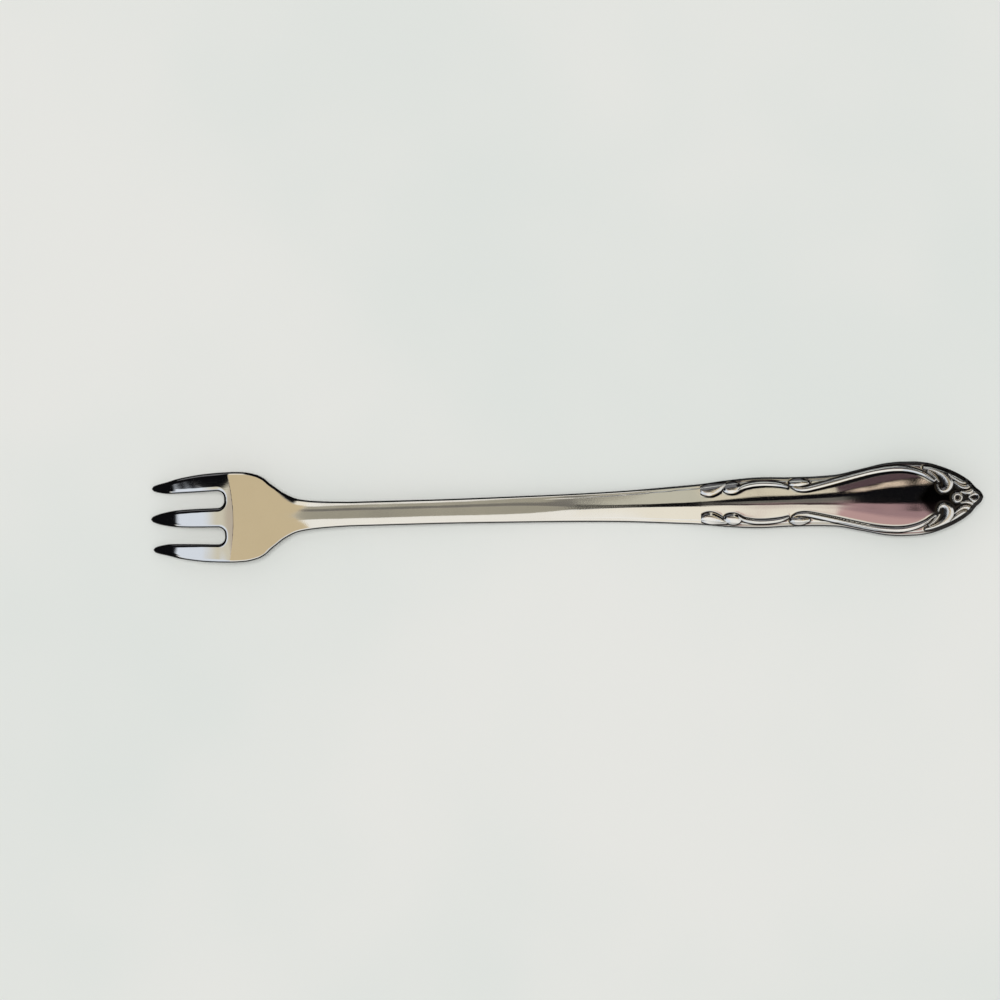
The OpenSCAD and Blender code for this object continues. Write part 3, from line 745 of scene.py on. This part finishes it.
# Rows and columns of the meshes, and how much they crowd towards the edges, the points and the slots
CROWDING = 1.6
TINE_START = 0.02
TINE_ROWS = 110
TINE_ROW_CROWDING = 1.8
TINE_COLUMNS = 41
CORNER_ROWS = 22
SLOT_COLUMNS = 15
PALM_ROWS = 90
PALM_ROW_CROWDING = 1.5
NECK_ROWS = 30
NECK_COLUMNS = 61
STEM_ROWS = 200
STEM_COLUMNS = 91
HANDLE_ROWS = 240
HANDLE_COLUMNS = 161
HANDLE_CROWDING = 1.2
SHIELD_ROW_STEP = 0.105
SHIELD_COLUMNS = 139
SHIELD_CROWDING = 1.1

# The rows round the nose go from the first angle to the last, the angle being 0 at the very end
NOSE_ROWS = 20
NOSE_FIRST_ANGLE = math.pi / 3
NOSE_LAST_ANGLE = 0.02


def strip(x_rows, low, high, columns, crowd=CROWDING):
    """A block whose rows lie across, each from low to high."""
    v = edge_spaced(columns, crowd)
    x = np.repeat(np.asarray(x_rows, float)[:, None], columns, axis=1)
    y = mix(np.asarray(low)[:, None], np.asarray(high)[:, None], (v[None, :] + 1) / 2)
    return x, y


def make_tine(name, side):
    s = np.linspace(TINE_START, 1, TINE_ROWS) ** TINE_ROW_CROWDING
    x, y, half = tine_edges(s, side)
    plate = Plate(name)
    plate.add(*strip(x, y - half, y + half, TINE_COLUMNS))
    return plate.build()


def make_root():
    """The palm, with the three stubs between the slots."""
    plate = Plate("root_steel")
    turn = np.linspace(0, math.pi / 2, CORNER_ROWS)
    rows = np.concatenate([[ROOT_X], ROOT_X + SLOT_RUN + SLOT_CORNER * np.sin(turn)])
    corner = SLOT_WIDTH / 2 - SLOT_CORNER + SLOT_CORNER * np.cos(turn)
    half_slot = np.concatenate([[SLOT_WIDTH / 2], corner])
    inner, outer, wide = SLOT_Y - half_slot, SLOT_Y + half_slot, half_width(rows)
    plate.add(*strip(rows, -inner, inner, TINE_COLUMNS))
    plate.add(*strip(rows, outer, wide, TINE_COLUMNS))
    plate.add(*strip(rows, -wide, -outer, TINE_COLUMNS))
    # Behind the slots the same columns go on to the neck, and the slot's own columns start
    rows = SLOT_END + (NECK_X - SLOT_END) * np.linspace(0, 1, PALM_ROWS) ** PALM_ROW_CROWDING
    wide = half_width(rows)
    spread = wide / half_width(SLOT_END)
    inner, outer = inner[-1] * spread, outer[-1] * spread
    plate.add(*strip(rows, -inner, inner, TINE_COLUMNS))
    plate.add(*strip(rows, outer, wide, TINE_COLUMNS))
    plate.add(*strip(rows, -wide, -outer, TINE_COLUMNS))
    plate.add(*strip(rows, inner, outer, SLOT_COLUMNS))
    plate.add(*strip(rows, -outer, -inner, SLOT_COLUMNS))
    return plate.build()


def make_bar(name, rows, columns, carved=False, crowd=CROWDING):
    """A region from the neck on, whose sections run from edge to edge."""
    plate = Plate(name, carved)
    half = half_width(rows)
    plate.add(*strip(rows, -half, half, columns, crowd))
    return plate.build()


def shield_rows():
    """Where the shield's rows lie: evenly along it, then round the nose."""
    body_end = FORK_LENGTH - NOSE_RADIUS * (1 - math.cos(NOSE_FIRST_ANGLE))
    body = np.arange(SHIELD_X, body_end, SHIELD_ROW_STEP)
    turn = np.linspace(NOSE_FIRST_ANGLE, NOSE_LAST_ANGLE, NOSE_ROWS)
    return np.concatenate([body, FORK_LENGTH - NOSE_RADIUS * (1 - np.cos(turn))])


def make_pieces():
    neck_rows = np.linspace(NECK_X, STEM_X, NECK_ROWS)
    stem_rows = np.linspace(STEM_X, HANDLE_X, STEM_ROWS)
    handle_rows = np.linspace(HANDLE_X, SHIELD_X, HANDLE_ROWS)
    pieces = {
        "tine_left": make_tine("tine_left_steel", 1),
        "tine_middle": make_tine("tine_middle_steel", 0),
        "tine_right": make_tine("tine_right_steel", -1),
        "root": make_root(),
        "neck": make_bar("neck_steel", neck_rows, NECK_COLUMNS),
        "stem": make_bar("stem_steel", stem_rows, STEM_COLUMNS),
        "handle": make_bar("handle_steel", handle_rows, HANDLE_COLUMNS, True, HANDLE_CROWDING),
        "shield": make_bar("shield_steel", shield_rows(), SHIELD_COLUMNS, True, SHIELD_CROWDING),
    }
    for node, piece in pieces.items():
        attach(piece, "root")
        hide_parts(node)
    return pieces


class Nodes:
    """Short calls for building a node tree."""

    def __init__(self, tree):
        self.tree = tree

    def new(self, kind, **settings):
        node = self.tree.nodes.new(kind)
        for name, value in settings.items():
            setattr(node, name, value)
        return node

    def put(self, socket, value):
        if hasattr(value, "is_output"):
            self.tree.links.new(value, socket)
        else:
            socket.default_value = value

    def math(self, operation, a, b=0.0, c=0.0):
        node = self.new("ShaderNodeMath", operation=operation)
        self.put(node.inputs[0], a)
        self.put(node.inputs[1], b)
        self.put(node.inputs[2], c)
        return node.outputs[0]

    def step(self, value, low, high):
        """0 where value is at low and 1 where it is at high, smooth between."""
        node = self.new("ShaderNodeMapRange", interpolation_type="SMOOTHSTEP")
        self.put(node.inputs["Value"], value)
        self.put(node.inputs["From Min"], low)
        self.put(node.inputs["From Max"], high)
        return node.outputs["Result"]

    def blend(self, share, a, b):
        node = self.new("ShaderNodeMix", data_type="RGBA")
        self.put(node.inputs["Factor"], share)
        self.put(node.inputs["A"], a)
        self.put(node.inputs["B"], b)
        return node.outputs["Result"]

    def noise(self, vector, scale, detail=3.0, roughness=0.5):
        node = self.new("ShaderNodeTexNoise")
        self.put(node.inputs["Vector"], vector)
        node.inputs["Scale"].default_value = scale
        node.inputs["Detail"].default_value = detail
        node.inputs["Roughness"].default_value = roughness
        return node.outputs["Fac"]

    def scaled(self, vector, scale):
        node = self.new("ShaderNodeMapping")
        self.put(node.inputs["Vector"], vector)
        node.inputs["Scale"].default_value = scale
        return node.outputs["Vector"]


def rgba(red, green, blue):
    return (red, green, blue, 1.0)


def new_material(name):
    material = bpy.data.materials.new(name)
    material.use_nodes = True
    material.node_tree.nodes.clear()
    nodes = Nodes(material.node_tree)
    shader = nodes.new("ShaderNodeBsdfPrincipled")
    output = nodes.new("ShaderNodeOutputMaterial")
    nodes.tree.links.new(shader.outputs["BSDF"], output.inputs["Surface"])
    return material, nodes, shader


# Steel: its colours, the darkest being for tarnish and for the painted shade on the rims, the scales of
# its noises, the value of tarnish and painted rim shade at which it starts to darken and is darkest, its
# roughness and what haze, tarnish with the painted rim shade, and wear add to it, and the strength and
# depth of its scratches
BRIGHT_STEEL = rgba(0.80, 0.785, 0.755)
HAZY_STEEL = rgba(0.86, 0.85, 0.83)
TARNISHED_AND_SHADED_STEEL = rgba(0.03, 0.029, 0.029)
HAZE_SCALE = 160
GRAIN_SCALE = 5200
SCRATCH_SCALES = (300, GRAIN_SCALE, GRAIN_SCALE)
DARKENING_STARTS = 0.05
DARKENING_FULL = 0.8
ROUGHNESS = 0.03
HAZE_ROUGHNESS = 0.035
DARKENING_ROUGHNESS = 0.06
WEAR_ROUGHNESS = 0.2
SCRATCH_STRENGTH = 0.05
SCRATCH_DEPTH = 0.00002


def steel_material():
    """Polished steel: fine scratches, a faint haze, dull worn places, dark tarnish, and painted shade
    along the rims.
    """
    material, nodes, shader = new_material("polished_steel")
    place = nodes.new("ShaderNodeTexCoord").outputs["Object"]
    patina = nodes.new("ShaderNodeAttribute", attribute_name="patina").outputs["Fac"]
    worn = nodes.new("ShaderNodeAttribute", attribute_name="wear").outputs["Fac"]
    haze = nodes.noise(place, HAZE_SCALE, detail=4)
    scratches = nodes.noise(nodes.scaled(place, SCRATCH_SCALES), scale=1, detail=2)
    grain = nodes.noise(place, GRAIN_SCALE, detail=2)
    tone = nodes.blend(haze, BRIGHT_STEEL, HAZY_STEEL)
    dark = nodes.step(patina, DARKENING_STARTS, DARKENING_FULL)
    shader.inputs["Metallic"].default_value = 1
    # The base colour darkens with the tarnish and with the painted shade along the rims
    nodes.put(shader.inputs["Base Color"], nodes.blend(dark, tone, TARNISHED_AND_SHADED_STEEL))
    rough = nodes.math("MULTIPLY_ADD", haze, HAZE_ROUGHNESS, ROUGHNESS)
    rough = nodes.math("MULTIPLY_ADD", patina, DARKENING_ROUGHNESS, rough)
    nodes.put(shader.inputs["Roughness"], nodes.math("MULTIPLY_ADD", worn, WEAR_ROUGHNESS, rough))
    bump = nodes.new("ShaderNodeBump")
    bump.inputs["Strength"].default_value = SCRATCH_STRENGTH
    bump.inputs["Distance"].default_value = SCRATCH_DEPTH
    nodes.put(bump.inputs["Height"], nodes.math("ADD", scratches, grain))
    nodes.put(shader.inputs["Normal"], bump.outputs["Normal"])
    return material


# The table: half its side in metres, its two tones, its roughness, and the scale and range of the noise
# that drifts between the tones
FLOOR_HALF = 1.5
COOL_STONE = rgba(0.77, 0.80, 0.77)
WARM_STONE = rgba(0.83, 0.83, 0.80)
STONE_ROUGHNESS = 0.55
DRIFT_SCALE = 9
DRIFT_LOW = 0.35
DRIFT_HIGH = 0.65


def floor_material():
    """A pale honed stone with the faintest drift of tone."""
    material, nodes, shader = new_material("pale_table")
    place = nodes.new("ShaderNodeTexCoord").outputs["Object"]
    drift = nodes.noise(place, DRIFT_SCALE, detail=3, roughness=0.55)
    shader.inputs["Roughness"].default_value = STONE_ROUGHNESS
    tone = nodes.blend(nodes.step(drift, DRIFT_LOW, DRIFT_HIGH), COOL_STONE, WARM_STONE)
    nodes.put(shader.inputs["Base Color"], tone)
    return material


def make_floor():
    half = FLOOR_HALF
    mesh = bpy.data.meshes.new("table_top")
    corners = [(-half, -half, 0), (half, -half, 0), (half, half, 0), (-half, half, 0)]
    mesh.from_pydata(corners, [], [(0, 1, 2, 3)])
    floor = bpy.data.objects.new("table_top", mesh)
    bpy.context.scene.collection.objects.link(floor)
    floor.data.materials.append(floor_material())


# The room as polished metal sees it. Each patch gives its lowest and highest slope along the fork, its
# lowest and highest slope across it, its softness and its colour. A slope is that of a facet which shows
# the patch from above: how far the facet falls for each step along X or across Y. FAR is past the horizon.
# Across the fork no patch is sharper than ROOM_SOFTNESS
FAR = 9.0
ROOM_BASE = rgba(0.92, 0.87, 0.75)
BLACK = rgba(0.004, 0.004, 0.005)
ROOM_SOFTNESS = 0.014
ROOM_PATCHES = [
    (-FAR, FAR, -FAR, -0.26, 0.03, rgba(0.97, 0.96, 0.93)),
    (0.22, FAR, -FAR, 0.2, 0.03, rgba(0.80, 0.80, 0.79)),
    # Head: a warm wall over the palm, cool daylight over the tines
    (0.046, 0.22, -0.32, 0.2, 0.006, rgba(0.64, 0.525, 0.335)),
    (0.09, FAR, 0.2, FAR, 0.03, BLACK),
    (-0.48, -0.10, -0.9, 0.09, 0.02, rgba(0.76, 0.82, 0.91)),
    (-0.24, -0.06, -0.27, 0.9, 0.09, rgba(0.68, 0.64, 0.52)),
    (-0.165, -0.07, -0.27, 0.9, 0.03, rgba(0.54, 0.47, 0.38)),
    (-0.9, -0.15, 0.085, 0.9, 0.02, BLACK),
    (-0.9, -0.30, 0.062, 0.9, 0.05, BLACK),
    (-0.9, -0.37, 0.047, 0.9, 0.05, BLACK),
    (-FAR, -0.45, -0.25, FAR, 0.04, BLACK),
    (-FAR, -0.50, -FAR, FAR, 0.03, BLACK),
    # Stem: an olive wall with a darker edge
    (0.029, 0.046, -FAR, FAR, 0.004, rgba(0.95, 0.93, 0.87)),
    (0.029, 0.046, -0.10, 0.19, 0.004, rgba(0.37, 0.35, 0.28)),
    (0.029, 0.046, 0.085, 0.135, 0.004, rgba(0.19, 0.18, 0.16)),
    # Spine: a black gap between pale walls
    (-0.0225, 0.029, 0.10, 0.30, 0.004, rgba(0.58, 0.56, 0.46)),
    (-0.0225, -0.008, 0.10, 0.30, 0.004, rgba(0.75, 0.68, 0.53)),
    (-0.004, 0.029, -0.112, 0.122, 0.004, BLACK),
    (-0.026, -0.004, -0.07, 0.12, 0.004, BLACK),
    (-0.0215, -0.009, -0.035, 0.052, 0.006, rgba(0.17, 0.16, 0.14)),
    # Handle and shield: rose below the spine, black along it and a peach glint above it
    (-0.08, -0.0225, -0.20, 0.0, 0.014, rgba(0.53, 0.34, 0.33)),
    (-0.08, -0.0225, -0.12, 0.0, 0.03, rgba(0.35, 0.22, 0.23)),
    (-0.08, -0.0225, 0.10, 0.175, 0.004, rgba(0.094, 0.06, 0.067)),
    (-0.08, -0.0225, -0.035, 0.122, 0.004, BLACK),
    (-0.0405, -0.033, 0.084, 0.115, 0.003, rgba(1.0, 0.80, 0.62)),
    (-0.08, -0.0395, -0.08, 0.115, 0.004, BLACK),
    (-0.16, -0.013, 0.172, FAR, 0.006, BLACK),
    (-FAR, 0.028, 0.23, FAR, 0.01, BLACK),
    (-0.50, 0.10, 0.38, 1.1, 0.03, rgba(0.16, 0.16, 0.17)),
]


# What everything but polished metal sees of the room
PLAIN_ROOM = rgba(0.5, 0.505, 0.5)

# The least height of a ray over straight down, which keeps the slopes finite
LEAST_LIFT = 0.05


def make_world():
    """The studio: patches of colour for reflections and a plain grey for all else."""
    world = bpy.data.worlds.new("studio")
    bpy.context.scene.world = world
    world.use_nodes = True
    world.node_tree.nodes.clear()
    nodes = Nodes(world.node_tree)
    direction = nodes.new("ShaderNodeTexCoord").outputs["Generated"]
    parts = nodes.new("ShaderNodeSeparateXYZ")
    nodes.put(parts.inputs[0], direction)
    lift = nodes.math("MAXIMUM", nodes.math("ADD", parts.outputs["Z"], 1.0), LEAST_LIFT)
    along = nodes.math("DIVIDE", parts.outputs["X"], lift)
    across = nodes.math("DIVIDE", parts.outputs["Y"], lift)
    colour = ROOM_BASE
    for low_x, high_x, low_y, high_y, soft, patch in ROOM_PATCHES:
        wide = max(soft, ROOM_SOFTNESS)
        mask = nodes.math("MULTIPLY", nodes.step(along, low_x - soft / 2, low_x + soft / 2),
                          nodes.step(along, high_x + soft / 2, high_x - soft / 2))
        mask = nodes.math("MULTIPLY", mask, nodes.step(across, low_y - wide / 2, low_y + wide / 2))
        mask = nodes.math("MULTIPLY", mask, nodes.step(across, high_y + wide / 2, high_y - wide / 2))
        colour = nodes.blend(mask, colour, patch)
    room = nodes.new("ShaderNodeBackground")
    nodes.put(room.inputs["Color"], colour)
    plain = nodes.new("ShaderNodeBackground")
    plain.inputs["Color"].default_value = PLAIN_ROOM
    path = nodes.new("ShaderNodeLightPath")
    choice = nodes.new("ShaderNodeMixShader")
    nodes.put(choice.inputs[0], path.outputs["Is Glossy Ray"])
    nodes.tree.links.new(plain.outputs[0], choice.inputs[1])
    nodes.tree.links.new(room.outputs[0], choice.inputs[2])
    output = nodes.new("ShaderNodeOutputWorld")
    nodes.tree.links.new(choice.outputs[0], output.inputs["Surface"])


# The lamp: its side and place in metres, and its power in watts
LAMP_SIZE = 0.8
LAMP_PLACE = (-0.1, 0.15, 3.0)
LAMP_POWER = 42


def make_light():
    """One broad soft lamp high overhead, which keeps the table bright between the tines."""
    lamp = bpy.data.lights.new("soft_lamp", "AREA")
    lamp.size = LAMP_SIZE
    lamp.energy = LAMP_POWER
    holder = bpy.data.objects.new("soft_lamp", lamp)
    holder.location = LAMP_PLACE
    aim = Vector((0, 0, 0)) - Vector(holder.location)
    holder.rotation_euler = aim.to_track_quat("-Z", "Y").to_euler()
    holder.visible_glossy = False
    holder.visible_camera = False
    bpy.context.scene.collection.objects.link(holder)


# The photograph's view: its width in metres at the fork, the fork's middle in its pixels, and the fork's
# turn. Then the camera's height, the fork's mean height and the nearest and farthest place seen, all in
# metres, and the width of the sensor in millimetres
PHOTO_PIXELS = 1000
PHOTO_WIDTH = 0.1862
FORK_PIXEL = (566.1, 508.1)
FORK_TURN = math.radians(1.58)
CAMERA_HEIGHT = 0.9
FORK_MEAN_HEIGHT = 0.003
NEAREST_SEEN = 0.01
FARTHEST_SEEN = 10
SENSOR_WIDTH = 36


def make_camera():
    """A camera straight above, with the photograph's view."""
    camera = bpy.data.cameras.new("photo_camera")
    camera.sensor_width = SENSOR_WIDTH
    camera.lens = camera.sensor_width * (CAMERA_HEIGHT - FORK_MEAN_HEIGHT) / PHOTO_WIDTH
    camera.clip_start = NEAREST_SEEN
    camera.clip_end = FARTHEST_SEEN
    holder = bpy.data.objects.new("photo_camera", camera)
    pixel = PHOTO_WIDTH / PHOTO_PIXELS
    right = (FORK_PIXEL[0] - PHOTO_PIXELS / 2) * pixel
    up = (PHOTO_PIXELS / 2 - FORK_PIXEL[1]) * pixel
    cos, sin = math.cos(-FORK_TURN), math.sin(-FORK_TURN)
    holder.location = (-(right * cos - up * sin), -(right * sin + up * cos), CAMERA_HEIGHT)
    holder.rotation_euler = (0, 0, -FORK_TURN)
    bpy.context.scene.collection.objects.link(holder)
    bpy.context.scene.camera = holder


steel = steel_material()
for piece in make_pieces().values():
    piece.data.materials.append(steel)
make_floor()
make_world()
make_light()
make_camera()
bpy.context.scene.view_settings.view_transform = "Standard"
